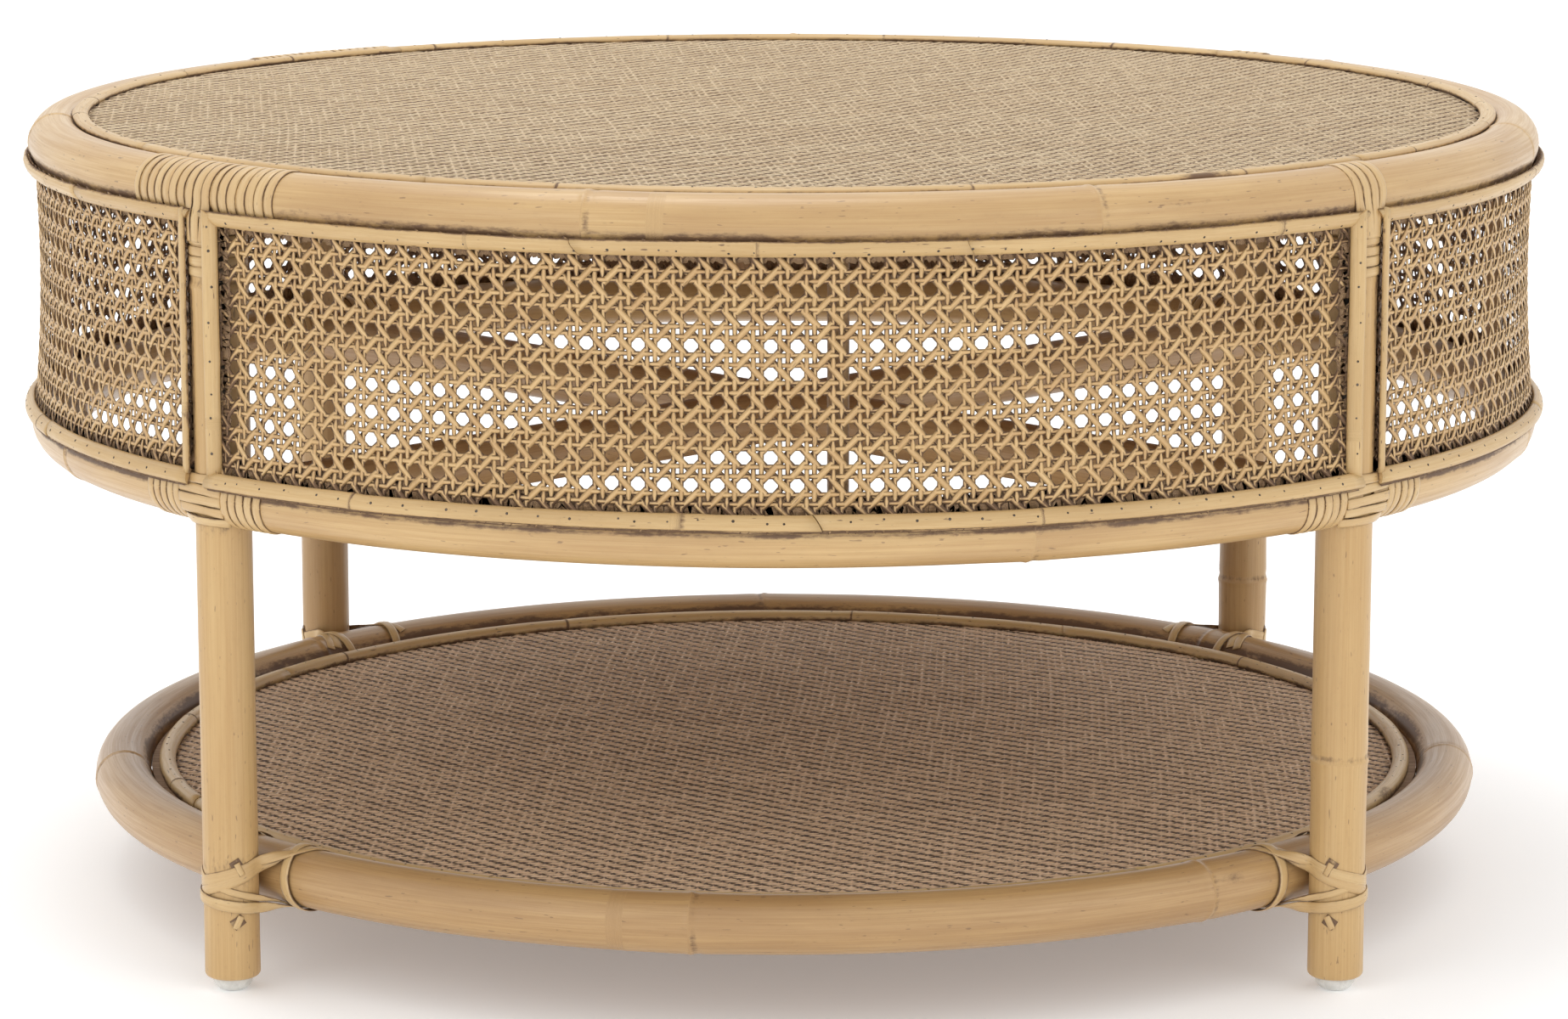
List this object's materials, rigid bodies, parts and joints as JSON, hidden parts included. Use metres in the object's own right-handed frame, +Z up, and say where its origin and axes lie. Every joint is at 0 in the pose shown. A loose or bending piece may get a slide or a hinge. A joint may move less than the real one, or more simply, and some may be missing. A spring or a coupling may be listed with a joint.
{
  "type": "coffee table",
  "caption": "Round two-tier rattan coffee table: woven top and shelf in bent pole rings, four round legs, and a cane webbing apron between two rings.",
  "frame": {"origin": "on the floor, under the centre of the table, in the plane that the four glides stand on", "axes": "+Z up; +X to the right and -Y to the front as one faces a cane panel; the legs stand on the diagonals"},
  "size_m": [0.903, 0.903, 0.4604],
  "materials": {
    "rattan_pole": "satin lacquer over a light brown glaze",
    "inner_pole": "satin lacquer",
    "cane_webbing": "satin, glazed in the crossings",
    "woven_mat": "matt, glazed between the strands",
    "split_rattan": "satin lacquer",
    "rattan_peel": "glossy natural skin",
    "plywood": "unfinished",
    "glide_plastic": "translucent, smooth",
    "pin_steel": "dark oxide",
    "screw_steel": "zinc"
  },
  "bodies": {
    "root": {"top_ring": "rattan_pole", "apron_ring_front": "rattan_pole", "apron_ring_right": "rattan_pole", "apron_ring_back": "rattan_pole", "apron_ring_left": "rattan_pole", "shelf_ring": "rattan_pole", "leg_front_left": "rattan_pole", "leg_front_right": "rattan_pole", "leg_back_right": "rattan_pole", "leg_back_left": "rattan_pole", "glides": "glide_plastic", "glide_nails": "screw_steel", "cross_pole_long": "inner_pole", "cross_pole_short_left": "inner_pole", "cross_pole_short_right": "inner_pole", "top_bearer_front": "plywood", "top_bearer_back": "plywood", "shelf_bearer_front": "plywood", "shelf_bearer_back": "plywood", "top_board": "plywood", "top_mat": "woven_mat", "top_trim": "split_rattan", "shelf_board": "plywood", "shelf_mat": "woven_mat", "shelf_trim": "split_rattan", "cane_panel_front": "cane_webbing", "cane_panel_right": "cane_webbing", "cane_panel_back": "cane_webbing", "cane_panel_left": "cane_webbing", "upper_bead_front": "split_rattan", "upper_bead_right": "split_rattan", "upper_bead_back": "split_rattan", "upper_bead_left": "split_rattan", "lower_bead_front": "split_rattan", "lower_bead_right": "split_rattan", "lower_bead_back": "split_rattan", "lower_bead_left": "split_rattan", "side_beads_front": "split_rattan", "side_beads_right": "split_rattan", "side_beads_back": "split_rattan", "side_beads_left": "split_rattan", "strut_front": "inner_pole", "strut_right": "inner_pole", "strut_back": "inner_pole", "strut_left": "inner_pole", "top_lashing_front_left": "rattan_peel", "top_lashing_front_right": "rattan_peel", "top_lashing_back_right": "rattan_peel", "top_lashing_back_left": "rattan_peel", "apron_lashing_front_left": "rattan_peel", "apron_lashing_front_right": "rattan_peel", "apron_lashing_back_right": "rattan_peel", "apron_lashing_back_left": "rattan_peel", "shelf_lashing_front_left": "rattan_peel", "shelf_lashing_front_right": "rattan_peel", "shelf_lashing_back_right": "rattan_peel", "shelf_lashing_back_left": "rattan_peel", "bead_pins": "pin_steel", "frame_screws": "screw_steel"}
  },
  "joints": []
}
